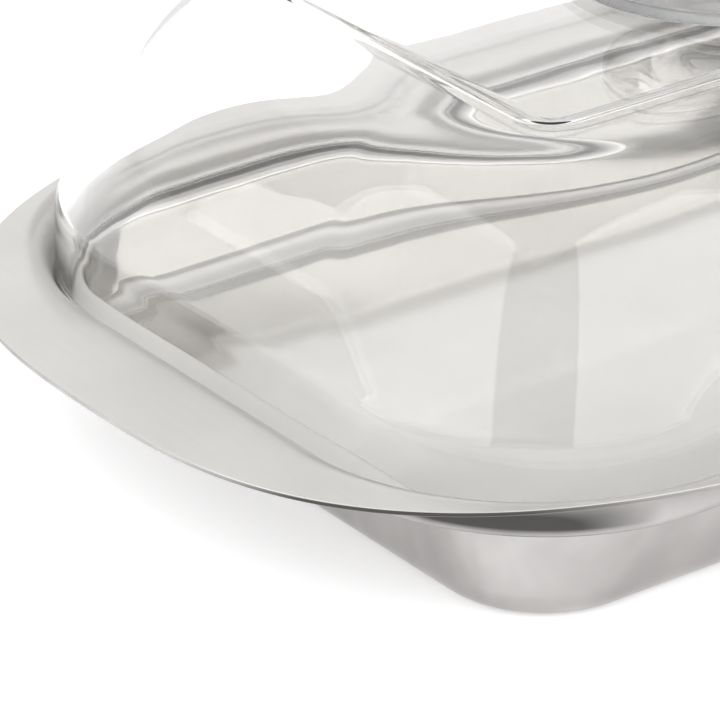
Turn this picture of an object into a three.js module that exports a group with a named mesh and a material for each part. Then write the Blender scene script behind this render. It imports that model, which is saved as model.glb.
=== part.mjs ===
// Butter dish: a pressed steel tray with a wing at each end, and a clear moulded cover with a bonded knob.
// Millimetres, +Z up. The origin is the middle of the tray's flat underside, and +X runs along the dish.
import * as THREE from "three";

// The tray, measured on the upper face of its sheet.
const SHEET = 0.6;
const RIM = { x: 94.5, y: 62, power: 2.8 };           // superellipse; its long ends are the wings
const RIM_HEIGHT = 18;
const LEDGE_HEIGHT = 12.4;                            // the ledge that the cover stands on
const COLLAR = { x: 77.2, y: 53.6, corner: 29.2 };    // upright wall around the ledge
const BEND = { x: 7.5, y: 3.7, corner: 9 };           // how far the bend reaches from collar to rim
const WELL_TOP = { x: 70.2, y: 49.6, corner: 16.6 };
const WELL_FLOOR = { x: 69, y: 48.4, corner: 13.4 };
const FLOOR_ROUND = 2.8;
const LEDGE_ROUND = 0.7;

// The cover, measured on its outside.
const WALL = 2;
const COVER_FOOT = { x: 76.7, y: 53.1, corner: 28.4 };
const COVER_PANEL = { x: 50.3, y: 27.3, corner: 5.4 };
const SEAT_GAP = 0.3;
const SKIRT_TOP = 21.8;                               // upright below, leaning in from here
const DOME_LEAN = THREE.MathUtils.degToRad(14);
const DOME_RISE_REACH = 27.5;                         // how far the dome keeps close to that lean
const DOME_FLAT_REACH = 13;                           // how far it runs almost level to the panel
const DOME_TOP = 49.6;
const CORNER_POWER = 2.5;                             // how late the upright corners sharpen
const PANEL_STEP = 0.3;                               // the flat panel stands this far above the dome

// The knob, a spool bonded to the middle of the panel.
const BOND_GAP = 0.1;
const KNOB_HEIGHT = 18;
const KNOB_FOOT = { radius: 21.8, thickness: 1.6 };
const KNOB_NECK = { radius: 6.5, height: 7.5 };
const KNOB_HEAD = { radius: 15, underside: 13.2, edge: 2.2 };

// How finely the rounds are cut.
const END_STEPS = 3;
const CORNER_STEPS = 13;
const SIDE_STEPS = 4;
const ROUND_STEPS = 3;
const DOME_STEPS = 10;
const KNOB_STEPS = 5;
const KNOB_SEGMENTS = 40;

const RIGHT_ANGLE = Math.PI / 2;

// An outline gives the distance from the middle to its edge, in the direction (cos, sin).
function roundedRectangle({ x, y, corner }) {
  return (cos, sin) => {
    const across = Math.abs(cos);
    const along = Math.abs(sin);
    if (x * along <= (y - corner) * across) return x / across;
    if (y * across <= (x - corner) * along) return y / along;
    const middle = (x - corner) * across + (y - corner) * along;
    return middle + Math.sqrt(middle ** 2 - (x - corner) ** 2 - (y - corner) ** 2 + corner ** 2);
  };
}

function superellipse({ x, y, power }) {
  return (cos, sin) => (Math.abs(cos / x) ** power + Math.abs(sin / y) ** power) ** (-1 / power);
}

function grown({ x, y, corner }, by) {
  return { x: x + by, y: y + by, corner: corner + by };
}

function between(from, to, share) {
  return {
    x: THREE.MathUtils.lerp(from.x, to.x, share),
    y: THREE.MathUtils.lerp(from.y, to.y, share),
    corner: THREE.MathUtils.lerp(from.corner, to.corner, share),
  };
}

// Directions around a ring, close together where the collar turns its corners.
function ringDirections() {
  const cornerStart = Math.atan2(COLLAR.y - COLLAR.corner, COLLAR.x);
  const cornerEnd = Math.atan2(COLLAR.y, COLLAR.x - COLLAR.corner);
  const quarter = [];
  const spread = (low, high, steps) => {
    for (let i = 0; i < steps; i++) quarter.push(THREE.MathUtils.lerp(low, high, i / steps));
  };
  spread(0, cornerStart, END_STEPS);
  spread(cornerStart, cornerEnd, CORNER_STEPS);
  spread(cornerEnd, RIGHT_ANGLE, SIDE_STEPS);
  const mirrored = quarter.slice(1).reverse().map((angle) => Math.PI - angle);
  const half = [...quarter, RIGHT_ANGLE, ...mirrored];
  const whole = [...half, ...half.map((angle) => angle + Math.PI)];
  return whole.map((angle) => [Math.cos(angle), Math.sin(angle)]);
}

// A closed skin through a list of rings, with a flat cap inside the first ring and inside the last.
function closedSkin(rings) {
  const directions = ringDirections();
  const count = directions.length;
  const positions = [];
  for (const { outline, z } of rings) {
    for (const [cos, sin] of directions) {
      const reach = outline(cos, sin);
      positions.push(reach * cos, reach * sin, z);
    }
  }
  const firstMiddle = rings.length * count;
  const lastMiddle = firstMiddle + 1;
  const lastRing = firstMiddle - count;
  positions.push(0, 0, rings[0].z, 0, 0, rings.at(-1).z);

  const indices = [];
  for (let j = 0; j < count; j++) {
    const next = (j + 1) % count;
    indices.push(firstMiddle, next, j);
    for (let ring = 0; ring < lastRing; ring += count) {
      indices.push(ring + j, ring + next, ring + count + j);
      indices.push(ring + next, ring + count + next, ring + count + j);
    }
    indices.push(lastMiddle, lastRing + j, lastRing + next);
  }
  const geometry = new THREE.BufferGeometry();
  geometry.setAttribute("position", new THREE.Float32BufferAttribute(positions, 3));
  geometry.setIndex(indices);
  geometry.computeVertexNormals();
  return geometry;
}

// A section is a list of stations. Each has a shape, a height, and a normal (out, up) into the material.
function faceRings(stations, depth) {
  return stations.map(({ shape, z, out, up }) => ({
    outline: roundedRectangle(grown(shape, depth * out)),
    z: z + depth * up,
  }));
}

// An arc of stations around a centre. side is 1 where the material lies outside the arc, -1 inside.
function arcStations(centre, z, radius, startAngle, endAngle, side) {
  const stations = [];
  for (let i = 0; i <= ROUND_STEPS; i++) {
    const angle = THREE.MathUtils.lerp(startAngle, endAngle, i / ROUND_STEPS);
    const out = Math.cos(angle);
    const up = Math.sin(angle);
    stations.push({ shape: grown(centre, radius * out), z: z + radius * up, out: side * out, up: side * up });
  }
  return stations;
}

// The bend from the collar over to the rim, an ellipse in section that is longer towards the wings.
function bendStations() {
  const start = LEDGE_HEIGHT + LEDGE_ROUND;
  const height = RIM_HEIGHT - start;
  const reach = (BEND.x + BEND.y) / 2;
  const far = { x: COLLAR.x + BEND.x, y: COLLAR.y + BEND.y, corner: COLLAR.corner + BEND.corner };
  const stations = [];
  for (let i = 0; i <= ROUND_STEPS + 1; i++) {
    const angle = RIGHT_ANGLE * (i / (ROUND_STEPS + 1));
    const normal = new THREE.Vector2(Math.cos(angle) / reach, -Math.sin(angle) / height).normalize();
    stations.push({
      shape: between(COLLAR, far, 1 - Math.cos(angle)),
      z: start + height * Math.sin(angle),
      out: normal.x,
      up: normal.y,
    });
  }
  return stations;
}

// The tray's sheet from the floor out to the rim: floor round, leaning well wall, ledge, collar, bend.
function trayStations() {
  const floorCentre = grown(WELL_FLOOR, -FLOOR_ROUND);
  const floorCentreHeight = SHEET + FLOOR_ROUND;
  const ledgeCentre = grown(WELL_TOP, LEDGE_ROUND);
  const ledgeCentreHeight = LEDGE_HEIGHT - LEDGE_ROUND;
  const span = new THREE.Vector2(ledgeCentre.x - floorCentre.x, ledgeCentreHeight - floorCentreHeight);
  const lean = Math.acos((FLOOR_ROUND + LEDGE_ROUND) / span.length()) - span.angle();
  return [
    ...arcStations(floorCentre, floorCentreHeight, FLOOR_ROUND, -RIGHT_ANGLE, -lean, 1),
    ...arcStations(ledgeCentre, ledgeCentreHeight, LEDGE_ROUND, Math.PI - lean, RIGHT_ANGLE, -1),
    ...arcStations(grown(COLLAR, -LEDGE_ROUND), LEDGE_HEIGHT + LEDGE_ROUND, LEDGE_ROUND, -RIGHT_ANGLE, 0, 1)
      .slice(0, -1),
    ...bendStations(),
  ];
}

function trayGeometry() {
  const stations = trayStations();
  const edge = superellipse(RIM);
  return closedSkin([
    ...faceRings(stations, SHEET),
    { outline: edge, z: RIM_HEIGHT - SHEET },
    { outline: edge, z: RIM_HEIGHT },
    ...faceRings(stations, 0).reverse(),
  ]);
}

// The cover's wall from its foot up to the panel: an upright skirt, then a dome that draws in with height.
function coverStations() {
  const depth = COVER_FOOT.x - COVER_PANEL.x;
  const rise = new THREE.Vector2(Math.sin(DOME_LEAN), Math.cos(DOME_LEAN)).multiplyScalar(DOME_RISE_REACH);
  const section = new THREE.CubicBezierCurve(
    new THREE.Vector2(0, SKIRT_TOP),
    new THREE.Vector2(0, SKIRT_TOP).add(rise),
    new THREE.Vector2(depth - DOME_FLAT_REACH, DOME_TOP),
    new THREE.Vector2(depth, DOME_TOP),
  );
  const stations = [{ shape: COVER_FOOT, z: LEDGE_HEIGHT + SEAT_GAP, out: -1, up: 0 }];
  for (let i = 0; i <= DOME_STEPS; i++) {
    const point = section.getPoint(i / DOME_STEPS);
    const tangent = section.getTangent(i / DOME_STEPS);
    const inset = point.x / depth;
    const shape = between(COVER_FOOT, COVER_PANEL, inset);
    shape.corner = THREE.MathUtils.lerp(COVER_FOOT.corner, COVER_PANEL.corner, inset ** CORNER_POWER);
    stations.push({ shape, z: point.y, out: -tangent.y, up: -tangent.x });
  }
  return stations;
}

function coverGeometry() {
  const stations = coverStations();
  const panel = roundedRectangle(COVER_PANEL);
  const ceiling = roundedRectangle(grown(COVER_PANEL, -WALL));
  const panelHeight = DOME_TOP + PANEL_STEP;
  return closedSkin([
    { outline: ceiling, z: panelHeight - WALL },
    ...faceRings(stations.slice(0, -1), WALL).reverse(),
    ...faceRings(stations, 0),
    { outline: panel, z: panelHeight },
  ]);
}

// The knob's profile from the bonded foot, in over a hollow neck, and out under a domed head.
function knobGeometry() {
  const profile = new THREE.Path();
  const headEdge = KNOB_HEAD.underside + KNOB_HEAD.edge;
  profile.moveTo(0, 0);
  profile.lineTo(KNOB_FOOT.radius, 0);
  profile.lineTo(KNOB_FOOT.radius, KNOB_FOOT.thickness);
  profile.quadraticCurveTo(KNOB_NECK.radius, KNOB_FOOT.thickness, KNOB_NECK.radius, KNOB_NECK.height);
  profile.quadraticCurveTo(KNOB_NECK.radius, KNOB_HEAD.underside, KNOB_HEAD.radius, KNOB_HEAD.underside);
  profile.lineTo(KNOB_HEAD.radius, headEdge);
  profile.quadraticCurveTo(KNOB_HEAD.radius * 0.6, KNOB_HEIGHT, 0, KNOB_HEIGHT);
  return new THREE.LatheGeometry(profile.getPoints(KNOB_STEPS), KNOB_SEGMENTS);
}

function namedMesh(name, geometry, material) {
  const mesh = new THREE.Mesh(geometry, new THREE.MeshStandardMaterial(material));
  mesh.name = name;
  return mesh;
}

const steel = { color: 0xd8d7d2, metalness: 1, roughness: 0.28 };
const clearPlastic = { color: 0xf4f6f5, metalness: 0, roughness: 0.05, transparent: true, opacity: 0.3 };

const tray = namedMesh("tray", trayGeometry(), steel);
const cover = namedMesh("cover", coverGeometry(), clearPlastic);
const knob = namedMesh("knob", knobGeometry(), clearPlastic);
knob.rotation.x = RIGHT_ANGLE;
knob.position.z = DOME_TOP + PANEL_STEP + BOND_GAP;

const lid = new THREE.Group();
lid.add(cover, knob);

const butterDish = new THREE.Group();
butterDish.add(tray, lid);

export default butterDish;
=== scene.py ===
"""Looks of the butter dish: a pressed steel tray and a clear moulded cover with its bonded knob.

Lengths are millimetres until a mesh is made. Camera, floor, lights, noise and bumps are in metres.
"""

import math

import bpy
import numpy as np
from mathutils import Euler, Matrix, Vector


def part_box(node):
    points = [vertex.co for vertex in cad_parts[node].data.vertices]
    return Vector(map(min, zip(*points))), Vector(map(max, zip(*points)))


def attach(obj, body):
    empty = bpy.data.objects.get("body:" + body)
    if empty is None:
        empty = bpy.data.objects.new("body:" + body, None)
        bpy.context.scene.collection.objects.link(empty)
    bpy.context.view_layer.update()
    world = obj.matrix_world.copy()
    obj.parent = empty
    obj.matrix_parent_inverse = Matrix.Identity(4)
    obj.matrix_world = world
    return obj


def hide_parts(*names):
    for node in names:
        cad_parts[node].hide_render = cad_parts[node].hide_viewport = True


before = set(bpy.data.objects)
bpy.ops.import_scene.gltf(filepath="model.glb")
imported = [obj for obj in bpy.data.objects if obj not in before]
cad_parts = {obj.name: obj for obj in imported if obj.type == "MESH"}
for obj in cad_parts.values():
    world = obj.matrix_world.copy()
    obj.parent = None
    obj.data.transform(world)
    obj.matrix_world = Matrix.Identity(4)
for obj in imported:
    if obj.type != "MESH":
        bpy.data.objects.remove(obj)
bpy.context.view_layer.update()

MM = 0.001
RIGHT_ANGLE = math.pi / 2

# Outside sizes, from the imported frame.
TRAY_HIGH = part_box("tray")[1] / MM
COVER_LOW, COVER_HIGH = (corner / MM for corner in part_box("cover"))
KNOB_LOW, KNOB_HIGH = (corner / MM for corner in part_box("knob"))

# The tray. A shape is half length, half width and corner radius, on the upper face of the sheet.
SHEET = 0.6
RIM_POWER = 2.8                       # of the superellipse that bounds the rim and the wings
LEDGE_HEIGHT = 12.4
COLLAR = np.array([77.2, 53.6, 29.2])
BEND = np.array([7.5, 3.7, 9.0])      # what the bend over to the rim adds to the collar
WELL_TOP = np.array([69.6, 49.0, 16.0])
WELL_FLOOR = np.array([69.3, 48.7, 13.7])
FLOOR_ROUND = 2.8
LEDGE_ROUND = 0.7
CUT_ROUND = 0.18                      # on the cut edge of the sheet

# The cover, on its outside.
WALL = 2.0
COVER_FOOT = np.array([COVER_HIGH.x, COVER_HIGH.y, 28.4])
COVER_PANEL = np.array([50.3, 27.3, 5.4])
PANEL_STEP = 0.3
STEP_RUN = 0.7
FOOT_ROUND = 0.5
SKIRT_GAP = 0.1                       # the skirt starts this far above the rounding of the foot
SKIRT_TOP = 21.8                      # where the skirt would meet the dome in a sharp crease
CREASE_ROUND = 14.0
DOME_LEAN = math.radians(14)          # of the dome just above the crease
DOME_RISE_REACH = 27.5                # how strongly the dome holds to that lean
DOME_FLAT_REACH = 13.0                # how strongly it holds to the level of the panel
CORNER_POWER = 2.5                    # above 1 the dome's corners stay wide until near the panel
SOFT_CORNER_POWER = 2.35              # 2 would be a round corner
SOFT_CORNER_REACH = (1 - 0.5**0.5) / (1 - 0.5 ** (1 / SOFT_CORNER_POWER))   # puts its middle on the round one
INNER_WALL_STOP = 0.5                 # the inner wall follows the outer one up to this far from the panel

# The knob, a spool.
KNOB_FOOT_THICKNESS = 1.6
KNOB_NECK = {"radius": 6.5, "height": 7.5}
KNOB_HEAD = {"radius": 15.0, "underside": 13.2, "edge": 2.2, "flat_share": 0.6, "tip": 0.3}
KNOB_ROUND = 0.4
KNOB_ROUND_CUT = 0.3                  # share of the rounding that is cut away at 45 degrees

# Meshes.
HOLD = 0.02                           # rings this share in from both ends keep a flat stretch's shading flat
CAP_SHARE = 0.02                      # of a flat face's size, left to the fan in its middle
SHEET_MAP = "sheet"

# Steel. A grain is a noise's size along and across the dish, and a pair is for the noise's low and high end.
STEEL_ANISOTROPY = 0.6
BRUSH = {"grain": (0.00012, 0.03), "detail": 3}
CLOUD = {"grain": (0.018, 0.022), "detail": 2}
BLOTCH = {"grain": (0.010, 0.007), "detail": 2}
TEXTURE_RANGE = {"source_low": 0.6, "source_high": 1.4}
BLOTCH_RANGE = {"source_low": 0.3, "source_high": 0.7}
WELL_COLOURS = ((0.56, 0.549, 0.53, 1), (0.62, 0.609, 0.588, 1))
WING_COLOURS = ((0.625, 0.612, 0.588, 1), (0.70, 0.687, 0.664, 1))
# satin outside, darker partly for its finish and partly as painted shade for the shaded floor it reflects
# under the rim
OUTSIDE_SATIN_AND_SHADE_COLOURS = ((0.37, 0.358, 0.352, 1), (0.47, 0.457, 0.45, 1))
LEDGE_COLOUR = (0.76, 0.745, 0.717, 1)
# painted shade on the outside of the collar's corners, for the shaded floor reflected under the rim
COLLAR_SHADE_COLOUR = (0.07, 0.066, 0.065, 1)
POLISH_ROUGHNESS = (0.07, 0.14)
ADDED_ROUGHNESS = {"outside": 0.12, "upper": 0.2, "ledge": 0.15, "fold": 0.35}
WAVE_BUMP = {"strength": 0.3, "distance": 0.00012}
BRUSH_BUMP = {"strength": 0.1, "distance": 0.000015}

# Where the steel changes. Bands and fades are heights, and turns are products of directions.
UPPER_FADE = 1.0
LEDGE_BAND = {"low": LEDGE_HEIGHT - 1.5, "high": LEDGE_HEIGHT + 5, "fade": 0.8}
FOLD_BAND = {"low": SHEET + 0.05, "high": SHEET + FLOOR_ROUND, "fade": 0.3}
# The painted shade on the collar's corners: the height over which it fades in above the ledge, and how far
# the normal must turn for it
COLLAR_SHADE_FADE = 0.8
COLLAR_SHADE_TURN = (0.16, 0.42)
OUTSIDE_TURN = 0.2

# Clear plastic.
CLEAR_COLOUR = (0.988, 0.986, 0.984, 1)
CLEAR_IOR = 1.5
CLEAR_ROUGHNESS = (0.0, 0.03)
FLOW_SCALE = 40                       # flow waves to the metre
FLOW_BUMP = {"strength": 0.1, "distance": 0.0005}
SCUFF = {"roughness": 0.5, "full": 0.1, "gone": 0.6}   # full and gone are heights above the foot

# The camera. Lens and sensor are in millimetres.
CAMERA_PLACE = Vector((-0.38865, -0.44989, 0.28701))
CAMERA_PITCH = math.radians(63.85)
CAMERA_YAW = math.radians(-36.52)
CAMERA_LENS = 263.2
CAMERA_SENSOR = 36.0

# Floor and light. Azimuths count from +X towards +Y, in degrees like the half angles.
FLOOR_REACH = 6.0
FLOOR_COLOUR = (0.93, 0.93, 0.93, 1)
FLOOR_ROUGHNESS = 0.9
FLOOR_GLOW = 0.34
STUDIO_COLOUR = (0.78, 0.78, 0.785, 1)
SOFTBOXES = {
    "back": {"azimuth": 74, "distance": 1.6, "half_angle": 37, "bottom": 0.26, "top": 2.4, "radiance": 0.3},
    "right": {"azimuth": -76, "distance": 0.85, "half_angle": 36, "bottom": 0, "top": 1.5, "radiance": 1.35},
    "left": {"azimuth": 172, "distance": 0.85, "half_angle": 38, "bottom": 0, "top": 1.5, "radiance": 1.35},
}
OVERHEAD = {"size": 2.4, "height": 1.7, "radiance": 0.42}


# Shapes and rings.

def grown(shape, by):
    return shape + by


def between(start, end, share):
    return start + (end - start) * share


def rounded_rectangle(shape, cos, sin):
    """Distance from the middle to a rounded rectangle, in the directions (cos, sin)."""
    x, y, corner = shape
    across, along = np.abs(cos), np.abs(sin)
    middle = (x - corner) * across + (y - corner) * along
    inside = middle**2 - (x - corner) ** 2 - (y - corner) ** 2 + corner**2
    reach = middle + np.sqrt(np.maximum(inside, 0))
    with np.errstate(divide="ignore", invalid="ignore"):
        reach = np.where(x * along <= (y - corner) * across, x / across, reach)
        reach = np.where(y * across <= (x - corner) * along, y / along, reach)
    return reach


def soft_rectangle(shape, cos, sin, steps=40):
    """The same where the corners run into the sides without a jump in curvature, found by halving."""
    x, y, corner = shape
    corner = corner * SOFT_CORNER_REACH
    across, along = np.abs(cos), np.abs(sin)
    low, high = np.zeros_like(across), np.full_like(across, x + y)
    for _ in range(steps):
        reach = (low + high) / 2
        past_x = np.maximum(reach * across - x + corner, 0) / corner
        past_y = np.maximum(reach * along - y + corner, 0) / corner
        outside = past_x**SOFT_CORNER_POWER + past_y**SOFT_CORNER_POWER > 1
        high = np.where(outside, reach, high)
        low = np.where(outside, low, reach)
    return low


def superellipse(x, y, power, cos, sin):
    return (np.abs(cos / x) ** power + np.abs(sin / y) ** power) ** (-1 / power)


def ring_directions(end_steps=24, corner_steps=56, side_steps=30):
    """Directions around the dish, close together where the collar turns its corners."""
    start = math.atan2(COLLAR[1] - COLLAR[2], COLLAR[0])
    end = math.atan2(COLLAR[1], COLLAR[0] - COLLAR[2])
    quarter = np.concatenate([
        np.linspace(0, start, end_steps, endpoint=False),
        np.linspace(start, end, corner_steps, endpoint=False),
        np.linspace(end, RIGHT_ANGLE, side_steps, endpoint=False),
    ])
    half = np.concatenate([quarter, [RIGHT_ANGLE], math.pi - quarter[:0:-1]])
    whole = np.concatenate([half, half + math.pi])
    return np.cos(whole), np.sin(whole)


COS, SIN = ring_directions()


def ring(reach, z):
    """One ring of points, at a distance from the middle that may differ in each direction."""
    return np.stack([reach * COS, reach * SIN, np.broadcast_to(z, COS.shape)], axis=1)


def tray_ring(shape, z):
    return ring(rounded_rectangle(shape, COS, SIN), z)


def cover_ring(shape, z):
    return ring(soft_rectangle(shape, COS, SIN), z)


def spread_rings(first, last, steps):
    """Rings between two rings, without the two themselves, and one close to each so that flats shade flat."""
    shares = [HOLD, *np.linspace(0, 1, steps + 1)[1:-1], 1 - HOLD]
    return [between(first, last, share) for share in shares]


def flat_rings(outer, steps=14):
    """Rings over the flat face inside an outer ring, from a very small one outwards."""
    small = outer.copy()
    small[:, :2] *= CAP_SHARE
    return [small, *spread_rings(small, outer, steps)]


def station(shape, z, out, up):
    """A place on the section: where the face runs, and the unit normal into the material."""
    return {"shape": shape, "z": z, "out": out, "up": up}


def face_rings(stations, depth, make_ring):
    """The rings of the face that lies at a depth below the stations."""
    return [
        make_ring(grown(place["shape"], depth * place["out"]), place["z"] + depth * place["up"])
        for place in stations
    ]


def arc_stations(centre, z, radius, start, end, side, steps):
    """An arc around a centre. side is 1 where the material lies outside the arc and -1 inside it."""
    made = []
    for angle in np.linspace(start, end, steps + 1):
        out, up = math.cos(angle), math.sin(angle)
        made.append(station(grown(centre, radius * out), z + radius * up, side * out, side * up))
    return made


def straight_stations(first, last):
    """The flat stretch between two stations, with one close to each end so that it shades flat."""
    return [
        station(between(first["shape"], last["shape"], share), between(first["z"], last["z"], share),
                first["out"], first["up"])
        for share in (HOLD, 1 / 3, 2 / 3, 1 - HOLD)
    ]


def sheet_lengths(rings):
    """How far each point lies from the middle along the section, which flattens the pressing out."""
    steps = np.linalg.norm(np.diff(np.stack(rings), axis=0), axis=2)
    start = np.linalg.norm(rings[0][:, :2], axis=1)
    return np.vstack([start, start + np.cumsum(steps, axis=0)])


def skin_faces(ring_count):
    """Faces between each ring and the next, then a fan from a middle point inside the first and the last."""
    count = len(COS)
    around = np.arange(count)
    following = (around + 1) % count
    first_middle = ring_count * count
    last_middle = first_middle + 1
    last_low = first_middle - count
    faces = []
    for low in range(0, last_low, count):
        high = low + count
        faces.extend(zip(low + around, low + following, high + following, high + around))
    faces.extend((first_middle, b, a) for a, b in zip(around, following))
    faces.extend((last_middle, last_low + a, last_low + b) for a, b in zip(around, following))
    return [[int(index) for index in face] for face in faces]


def mesh_object(name, rings, lengths):
    """A closed skin through the rings, with a map that lays it out flat by its lengths."""
    middles = [rings[0].mean(axis=0)[None], rings[-1].mean(axis=0)[None]]
    points = np.concatenate([*rings, *middles])
    flat = (lengths[..., None] * np.stack([COS, SIN], axis=1)).reshape(-1, 2)
    flat = np.concatenate([flat, np.zeros((len(middles), 2))])
    mesh = bpy.data.meshes.new(name)
    mesh.from_pydata((points * MM).tolist(), [], skin_faces(len(rings)))
    mesh.shade_smooth()
    layer = mesh.uv_layers.new(name=SHEET_MAP)
    corners = np.zeros(len(mesh.loops), dtype=np.int32)
    mesh.loops.foreach_get("vertex_index", corners)
    layer.data.foreach_set("uv", (flat[corners] * MM).astype(np.float32).ravel())
    mesh.validate()
    piece = bpy.data.objects.new(name, mesh)
    bpy.context.scene.collection.objects.link(piece)
    return piece


# The tray.

def bend_stations(steps=18):
    """The bend from the collar over to the rim, an ellipse in section, longer towards the wings."""
    start = LEDGE_HEIGHT + LEDGE_ROUND
    height = TRAY_HIGH.z - start
    reach = (BEND[0] + BEND[1]) / 2
    made = []
    for angle in np.linspace(0, RIGHT_ANGLE, steps + 1):
        normal = Vector((math.cos(angle) / reach, -math.sin(angle) / height)).normalized()
        shape = between(COLLAR, COLLAR + BEND, 1 - math.cos(angle))
        made.append(station(shape, start + height * math.sin(angle), normal.x, normal.y))
    return made


def tray_stations():
    """The sheet's upper face from the floor out to the end of the bend."""
    floor_centre = grown(WELL_FLOOR, -FLOOR_ROUND)
    floor_z = SHEET + FLOOR_ROUND
    ledge_centre = grown(WELL_TOP, LEDGE_ROUND)
    ledge_z = LEDGE_HEIGHT - LEDGE_ROUND
    collar_centre = grown(COLLAR, -LEDGE_ROUND)
    collar_z = LEDGE_HEIGHT + LEDGE_ROUND
    span = Vector((ledge_centre[0] - floor_centre[0], ledge_z - floor_z))
    lean = math.acos((FLOOR_ROUND + LEDGE_ROUND) / span.length) - math.atan2(span.y, span.x)
    floor_arc = arc_stations(floor_centre, floor_z, FLOOR_ROUND, -RIGHT_ANGLE, -lean, 1, steps=12)
    ledge_arc = arc_stations(ledge_centre, ledge_z, LEDGE_ROUND, math.pi - lean, RIGHT_ANGLE, -1, steps=10)
    collar_foot = arc_stations(collar_centre, collar_z, LEDGE_ROUND, -RIGHT_ANGLE, 0, 1, steps=8)
    return [
        *floor_arc,
        *straight_stations(floor_arc[-1], ledge_arc[0]),
        *ledge_arc,
        *straight_stations(ledge_arc[-1], collar_foot[0]),
        *collar_foot[:-1],
        *bend_stations(),
    ]


def rim_rings(steps=6):
    """The cut edge of the sheet, rounded a little below and above."""
    reach = superellipse(TRAY_HIGH.x, TRAY_HIGH.y, RIM_POWER, COS, SIN)
    made = []
    for centre_z, start in ((TRAY_HIGH.z - SHEET + CUT_ROUND, -RIGHT_ANGLE), (TRAY_HIGH.z - CUT_ROUND, 0)):
        for angle in np.linspace(start, start + RIGHT_ANGLE, steps + 1):
            inset = CUT_ROUND * (1 - math.cos(angle))
            made.append(ring(reach - inset, centre_z + CUT_ROUND * math.sin(angle)))
    return made


def make_tray(wing_steps=10):
    """The sheet's underside from the middle out, its cut edge, and its upper face back to the middle."""
    stations = tray_stations()
    under = face_rings(stations, SHEET, tray_ring)
    upper = face_rings(stations, 0, tray_ring)
    rim = rim_rings()
    under = [*flat_rings(under[0]), *under, *spread_rings(under[-1], rim[0], wing_steps)]
    upper = [*flat_rings(upper[0]), *upper, *spread_rings(upper[-1], rim[-1], wing_steps)]
    half = len(rim) // 2
    under += rim[:half]
    upper += rim[:half - 1:-1]
    lengths = np.vstack([sheet_lengths(under), sheet_lengths(upper)[::-1]])
    return mesh_object("pressed_tray", [*under, *upper[::-1]], lengths)


# The cover.

def cubic(points, share):
    """A point and the direction on a cubic curve."""
    start, first, second, end = (np.array(point) for point in points)
    rest = 1 - share
    place = rest**3 * start + 3 * rest**2 * share * first + 3 * rest * share**2 * second + share**3 * end
    along = rest**2 * (first - start) + 2 * rest * share * (second - first) + share**2 * (end - second)
    return place, along / np.linalg.norm(along)


def skirt_stations(low, high, steps=11):
    """The upright skirt, without its upper end."""
    return [station(COVER_FOOT, z, -1, 0) for z in np.linspace(low, high, steps + 1)[:-1]]


def dome_stations(start_inset, start_z, steps=64):
    """The dome from the end of the crease up to the panel, a cubic curve in section."""
    depth = COVER_FOOT[0] - COVER_PANEL[0]
    top = COVER_HIGH.z - PANEL_STEP
    rise_inset = start_inset + DOME_RISE_REACH * math.sin(DOME_LEAN)
    rise_z = start_z + DOME_RISE_REACH * math.cos(DOME_LEAN)
    section = ((start_inset, start_z), (rise_inset, rise_z), (depth - DOME_FLAT_REACH, top), (depth, top))
    made = []
    for share in np.linspace(0, 1, steps + 1):
        (inset, z), (turn, climb) = cubic(section, share)
        inset_share = inset / depth
        shape = between(COVER_FOOT, COVER_PANEL, inset_share)
        shape[2] = between(COVER_FOOT[2], COVER_PANEL[2], inset_share**CORNER_POWER)
        made.append(station(shape, z, -climb, -turn))
    return made


def cover_stations():
    """The cover's outside, from just above the rounding of the foot up to the panel."""
    skirt_low = COVER_LOW.z + FOOT_ROUND + SKIRT_GAP
    crease_z = SKIRT_TOP - CREASE_ROUND * math.tan(DOME_LEAN / 2)
    crease_centre = grown(COVER_FOOT, -CREASE_ROUND)
    crease = arc_stations(crease_centre, crease_z, CREASE_ROUND, 0, DOME_LEAN, -1, steps=6)
    dome_inset = CREASE_ROUND * (1 - math.cos(DOME_LEAN))
    dome_z = crease_z + CREASE_ROUND * math.sin(DOME_LEAN)
    return [*skirt_stations(skirt_low, crease_z), *crease[:-1], *dome_stations(dome_inset, dome_z)]


def step_rings(shape, low, steps=10):
    """A soft little step up onto a panel."""
    made = []
    for share in np.linspace(0, 1, steps + 1)[1:]:
        rise = share * share * (3 - 2 * share)
        made.append(cover_ring(grown(shape, -STEP_RUN * share), low + PANEL_STEP * rise))
    return made


def foot_rings(steps=5):
    """The underside of the cover's wall from the inside out, rounded on both edges."""
    inner = (grown(COVER_FOOT, -WALL), 1, np.linspace(0, RIGHT_ANGLE, steps + 1))
    outer = (COVER_FOOT, -1, np.linspace(RIGHT_ANGLE, 0, steps + 1))
    made = []
    for edge, side, angles in (inner, outer):
        for angle in angles:
            shape = grown(edge, side * FOOT_ROUND * (1 - math.cos(angle)))
            made.append(cover_ring(shape, COVER_LOW.z + FOOT_ROUND * (1 - math.sin(angle))))
    return made


def make_cover():
    """The cover's inside from the middle of the ceiling down, its foot, and its outside back up."""
    stations = cover_stations()
    ceiling = COVER_HIGH.z - WALL
    outer_step = step_rings(COVER_PANEL, COVER_HIGH.z - PANEL_STEP)
    inner_step = step_rings(grown(COVER_PANEL, -WALL), ceiling - PANEL_STEP)
    inner_wall = [place for place in stations if place["shape"][0] > COVER_PANEL[0] + INNER_WALL_STOP]
    inside = [*flat_rings(inner_step[-1]), *inner_step[::-1], *face_rings(inner_wall, WALL, cover_ring)[::-1]]
    outside = [*flat_rings(outer_step[-1]), *outer_step[::-1], *face_rings(stations, 0, cover_ring)[::-1]]
    rings = [*inside, *foot_rings(), *outside[::-1]]
    return mesh_object("clear_cover", rings, sheet_lengths(rings))


# The knob.

def curve(start, control, end, steps=28):
    """Points on a quadratic curve, without its start."""
    start, control, end = (np.array(point, dtype=float) for point in (start, control, end))
    shares = np.linspace(0, 1, steps + 1)[1:, None]
    return list((1 - shares) ** 2 * start + 2 * shares * (1 - shares) * control + shares**2 * end)


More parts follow.
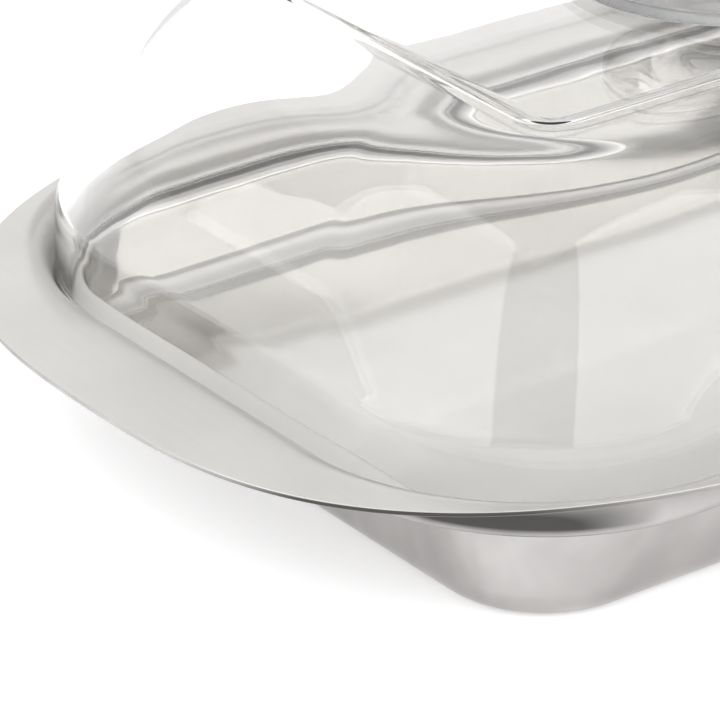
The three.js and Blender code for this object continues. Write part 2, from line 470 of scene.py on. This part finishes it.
def rounded_edge(centre, start, end, steps=6):
    """Points on a small arc in the knob's section."""
    return [
        np.array([centre[0] + KNOB_ROUND * math.cos(angle), centre[1] + KNOB_ROUND * math.sin(angle)])
        for angle in np.linspace(start, end, steps + 1)
    ]


def make_knob(foot_steps=8):
    """The knob's section turned about its axis: bonded foot, hollow neck, domed head."""
    foot = KNOB_HIGH.x - KNOB_ROUND
    foot_top = KNOB_FOOT_THICKNESS
    neck, neck_z = KNOB_NECK["radius"], KNOB_NECK["height"]
    head, under = KNOB_HEAD["radius"], KNOB_HEAD["underside"]
    edge = under + KNOB_HEAD["edge"]
    top = KNOB_HIGH.z - KNOB_LOW.z
    dome_start = (head - KNOB_ROUND * KNOB_ROUND_CUT, edge - KNOB_ROUND * KNOB_ROUND_CUT)
    section = [
        *rounded_edge((foot, KNOB_ROUND), -RIGHT_ANGLE, 0),
        *rounded_edge((foot, foot_top - KNOB_ROUND), 0, RIGHT_ANGLE),
        *curve((foot, foot_top), (neck, foot_top), (neck, neck_z)),
        *curve((neck, neck_z), (neck, under), (head - KNOB_ROUND, under)),
        *rounded_edge((head - KNOB_ROUND, under + KNOB_ROUND), -RIGHT_ANGLE, 0),
        *rounded_edge((head - KNOB_ROUND, edge - KNOB_ROUND), 0, RIGHT_ANGLE / 2),
        *curve(dome_start, (head * KNOB_HEAD["flat_share"], top), (KNOB_HEAD["tip"], top)),
    ]
    rings = [ring(np.full(len(COS), point[0]), KNOB_LOW.z + point[1]) for point in section]
    rings = [*flat_rings(rings[0], foot_steps), *rings]
    return mesh_object("clear_knob", rings, sheet_lengths(rings))


# Shader nodes.

def new_material(name):
    material = bpy.data.materials.new(name)
    material.use_nodes = True
    tree = material.node_tree
    return material, tree, tree.nodes["Principled BSDF"]


def node(tree, kind, **settings):
    made = tree.nodes.new("ShaderNode" + kind)
    for key, value in settings.items():
        setattr(made, key, value)
    return made


def separated(tree, vector):
    """The X, Y and Z of a vector."""
    parts = node(tree, "SeparateXYZ")
    tree.links.new(vector, parts.inputs["Vector"])
    return parts.outputs


def combined(tree, operation, first, second):
    made = node(tree, "Math", operation=operation)
    tree.links.new(first, made.inputs[0])
    tree.links.new(second, made.inputs[1])
    return made.outputs["Value"]


def summed(tree, first, second):
    return combined(tree, "ADD", first, second)


def product(tree, first, second):
    return combined(tree, "MULTIPLY", first, second)


def mapped(tree, source, low, high, source_low=0.0, source_high=1.0):
    scale = node(tree, "MapRange")
    scale.inputs["From Min"].default_value = source_low
    scale.inputs["From Max"].default_value = source_high
    scale.inputs["To Min"].default_value = low
    scale.inputs["To Max"].default_value = high
    tree.links.new(source, scale.inputs["Value"])
    return scale.outputs["Result"]


def mixed(tree, share, first, second):
    """A mix of two colours, each either a colour or a socket."""
    mix = node(tree, "Mix", data_type="RGBA")
    tree.links.new(share, mix.inputs[0])
    for socket, colour in ((mix.inputs[6], first), (mix.inputs[7], second)):
        if isinstance(colour, tuple):
            socket.default_value = colour
        else:
            tree.links.new(colour, socket)
    return mix.outputs[2]


def stretched_noise(tree, source, grain, detail):
    """Noise with grains of one size along and another across the dish, in the plane of the sheet map."""
    along, across = grain
    mapping = node(tree, "Mapping")
    mapping.inputs["Scale"].default_value = (1 / along, 1 / across, 1)
    noise = node(tree, "TexNoise")
    noise.inputs["Scale"].default_value = 1
    noise.inputs["Detail"].default_value = detail
    tree.links.new(source, mapping.inputs["Vector"])
    tree.links.new(mapping.outputs["Vector"], noise.inputs["Vector"])
    return noise.outputs["Fac"]


def bump(tree, height, strength, distance, before=None):
    made = node(tree, "Bump")
    made.inputs["Strength"].default_value = strength
    made.inputs["Distance"].default_value = distance
    tree.links.new(height, made.inputs["Height"])
    if before is not None:
        tree.links.new(before, made.inputs["Normal"])
    return made.outputs["Normal"]


# Steel.

def surface_height(tree):
    return separated(tree, node(tree, "NewGeometry").outputs["Position"])["Z"]


def outside_mask(tree):
    """1 on the tray's outside and underside, 0 on its upper face."""
    geometry = node(tree, "NewGeometry")
    flat = node(tree, "VectorMath", operation="MULTIPLY")
    flat.inputs[1].default_value = (1, 1, 0)
    outward = node(tree, "VectorMath", operation="NORMALIZE")
    out_and_down = node(tree, "VectorMath", operation="SUBTRACT")
    out_and_down.inputs[1].default_value = (0, 0, 1)
    facing = node(tree, "VectorMath", operation="DOT_PRODUCT")
    tree.links.new(geometry.outputs["Position"], flat.inputs[0])
    tree.links.new(flat.outputs["Vector"], outward.inputs[0])
    tree.links.new(outward.outputs["Vector"], out_and_down.inputs[0])
    tree.links.new(out_and_down.outputs["Vector"], facing.inputs[0])
    tree.links.new(geometry.outputs["Normal"], facing.inputs[1])
    return mapped(tree, facing.outputs["Value"], 0, 1, -OUTSIDE_TURN, OUTSIDE_TURN)


def upper_mask(tree):
    """0 in the well, growing to 1 on the collar and the wings."""
    low, high = LEDGE_HEIGHT - UPPER_FADE, LEDGE_HEIGHT + UPPER_FADE
    return mapped(tree, surface_height(tree), 0, 1, low * MM, high * MM)


def band_mask(tree, outside, low, high, fade):
    """1 on the sheet's upper face between two heights and 0 elsewhere, with a fade just inside both."""
    height = surface_height(tree)
    over = mapped(tree, height, 0, 1, low * MM, (low + fade) * MM)
    under = mapped(tree, height, 1, 0, (high - fade) * MM, high * MM)
    return product(tree, product(tree, over, under), mapped(tree, outside, 1, 0))


def collar_shade_mask(tree, outside):
    """1 on the outside of the collar's corners above the ledge, where a painted shade stands for the shaded
    floor the steel would reflect under the rim.
    """
    normal = separated(tree, node(tree, "NewGeometry").outputs["Normal"])
    turn = node(tree, "Math", operation="ABSOLUTE")
    tree.links.new(product(tree, normal["X"], normal["Y"]), turn.inputs[0])
    corner = mapped(tree, turn.outputs["Value"], 0, 1, *COLLAR_SHADE_TURN)
    low, high = LEDGE_HEIGHT * MM, (LEDGE_HEIGHT + COLLAR_SHADE_FADE) * MM
    above_ledge = mapped(tree, surface_height(tree), 0, 1, low, high)
    return product(tree, outside, product(tree, above_ledge, corner))


def steel_masks(tree):
    outside = outside_mask(tree)
    return {
        "outside": outside,
        "upper": upper_mask(tree),
        "ledge": band_mask(tree, outside, **LEDGE_BAND),
        "fold": band_mask(tree, outside, **FOLD_BAND),
        "collar_shade": collar_shade_mask(tree, outside),
    }


def steel_colour(tree, texture, blotch, masks):
    """The steel's tint: even inside, lighter on the ledge, blotchy and darker outside (partly for the satin
    finish, partly as painted shade), and a painted shade on the collar's outside corners.
    """
    well = mixed(tree, texture, *WELL_COLOURS)
    wings = mixed(tree, texture, *WING_COLOURS)
    above = mixed(tree, masks["ledge"], mixed(tree, masks["upper"], well, wings), LEDGE_COLOUR)
    below = mixed(tree, blotch, *OUTSIDE_SATIN_AND_SHADE_COLOURS)
    return mixed(tree, masks["outside"], above, mixed(tree, masks["collar_shade"], below, COLLAR_SHADE_COLOUR))


def steel_roughness(tree, brush, masks):
    """Nearly a mirror in the well, and satin outside, on the wings and where the sheet is worn or folded."""
    roughness = mapped(tree, brush, *POLISH_ROUGHNESS)
    for name, added in ADDED_ROUGHNESS.items():
        roughness = summed(tree, roughness, mapped(tree, masks[name], 0, added))
    return roughness


def steel_material():
    """Pressed steel, brushed along the dish's width."""
    material, tree, shader = new_material("brushed_steel")
    shader.inputs["Metallic"].default_value = 1
    shader.inputs["Anisotropic"].default_value = STEEL_ANISOTROPY
    tangent = node(tree, "Tangent", direction_type="UV_MAP", uv_map=SHEET_MAP)
    tree.links.new(tangent.outputs["Tangent"], shader.inputs["Tangent"])
    sheet = node(tree, "UVMap", uv_map=SHEET_MAP).outputs["UV"]
    brush = stretched_noise(tree, sheet, **BRUSH)
    cloud = stretched_noise(tree, sheet, **CLOUD)
    texture = mapped(tree, summed(tree, cloud, brush), 0, 1, **TEXTURE_RANGE)
    blotch = mapped(tree, stretched_noise(tree, sheet, **BLOTCH), 0, 1, **BLOTCH_RANGE)
    masks = steel_masks(tree)
    tree.links.new(steel_colour(tree, texture, blotch, masks), shader.inputs["Base Color"])
    tree.links.new(steel_roughness(tree, brush, masks), shader.inputs["Roughness"])
    waves = bump(tree, cloud, **WAVE_BUMP)
    tree.links.new(bump(tree, brush, before=waves, **BRUSH_BUMP), shader.inputs["Normal"])
    return material


# Clear plastic.

def clear_material(name, foot):
    """Clear moulded plastic with faint flow waves, dull at its foot, where it is scuffed or bonded."""
    material, tree, shader = new_material(name)
    shader.inputs["Base Color"].default_value = CLEAR_COLOUR
    shader.inputs["Transmission Weight"].default_value = 1
    shader.inputs["IOR"].default_value = CLEAR_IOR
    place = node(tree, "TexCoord").outputs["Object"]
    full, gone = (foot + SCUFF["full"]) * MM, (foot + SCUFF["gone"]) * MM
    scuff = mapped(tree, separated(tree, place)["Z"], SCUFF["roughness"], 0, full, gone)
    flow = node(tree, "TexNoise")
    flow.inputs["Scale"].default_value = FLOW_SCALE
    tree.links.new(place, flow.inputs["Vector"])
    clear = mapped(tree, flow.outputs["Fac"], *CLEAR_ROUGHNESS)
    tree.links.new(summed(tree, clear, scuff), shader.inputs["Roughness"])
    tree.links.new(bump(tree, flow.outputs["Fac"], **FLOW_BUMP), shader.inputs["Normal"])
    return material


def dress(piece, material, body, cad_node):
    piece.data.materials.append(material)
    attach(piece, body)
    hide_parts(cad_node)


# The studio.

def make_camera():
    data = bpy.data.cameras.new("camera")
    data.sensor_width = CAMERA_SENSOR
    data.lens = CAMERA_LENS
    camera = bpy.data.objects.new("camera", data)
    camera.location = CAMERA_PLACE
    camera.rotation_euler = Euler((CAMERA_PITCH, 0, CAMERA_YAW))
    bpy.context.scene.collection.objects.link(camera)
    bpy.context.scene.camera = camera


def make_floor():
    corners = [(x * FLOOR_REACH, y * FLOOR_REACH, 0) for x, y in ((-1, -1), (1, -1), (1, 1), (-1, 1))]
    mesh = bpy.data.meshes.new("floor")
    mesh.from_pydata(corners, [], [(0, 1, 2, 3)])
    floor = bpy.data.objects.new("floor", mesh)
    material, _, shader = new_material("white_floor")
    shader.inputs["Base Color"].default_value = FLOOR_COLOUR
    shader.inputs["Roughness"].default_value = FLOOR_ROUGHNESS
    shader.inputs["Specular IOR Level"].default_value = 0
    shader.inputs["Emission Color"].default_value = (1, 1, 1, 1)
    shader.inputs["Emission Strength"].default_value = FLOOR_GLOW
    mesh.materials.append(material)
    bpy.context.scene.collection.objects.link(floor)


def area_light(name, width, height, radiance):
    """A rectangular light whose whole face has one radiance."""
    data = bpy.data.lights.new(name, "AREA")
    data.shape = "RECTANGLE"
    data.size = width
    data.size_y = height
    data.energy = radiance * math.pi * width * height
    light = bpy.data.objects.new(name, data)
    bpy.context.scene.collection.objects.link(light)
    return light


def standing_softbox(name, azimuth, distance, half_angle, bottom, top, radiance):
    """An upright soft light that faces the dish and spans a half angle to each side."""
    light = area_light(name, 2 * distance * math.tan(math.radians(half_angle)), top - bottom, radiance)
    around = math.radians(azimuth)
    light.location = (distance * math.cos(around), distance * math.sin(around), (top + bottom) / 2)
    light.rotation_euler = Euler((RIGHT_ANGLE, 0, around + RIGHT_ANGLE))


def make_light():
    world = bpy.data.worlds.new("studio")
    bpy.context.scene.world = world
    world.use_nodes = True
    world.node_tree.nodes["Background"].inputs["Color"].default_value = STUDIO_COLOUR
    for name, softbox in SOFTBOXES.items():
        standing_softbox(name, **softbox)
    overhead = area_light("top", OVERHEAD["size"], OVERHEAD["size"], OVERHEAD["radiance"])
    overhead.location = (0, 0, OVERHEAD["height"])


make_camera()
make_floor()
make_light()
dress(make_tray(), steel_material(), "dish", "tray")
dress(make_cover(), clear_material("clear_cover_plastic", COVER_LOW.z), "lid", "cover")
dress(make_knob(), clear_material("clear_knob_plastic", KNOB_LOW.z), "lid", "knob")
bpy.context.scene.view_settings.view_transform = "Standard"
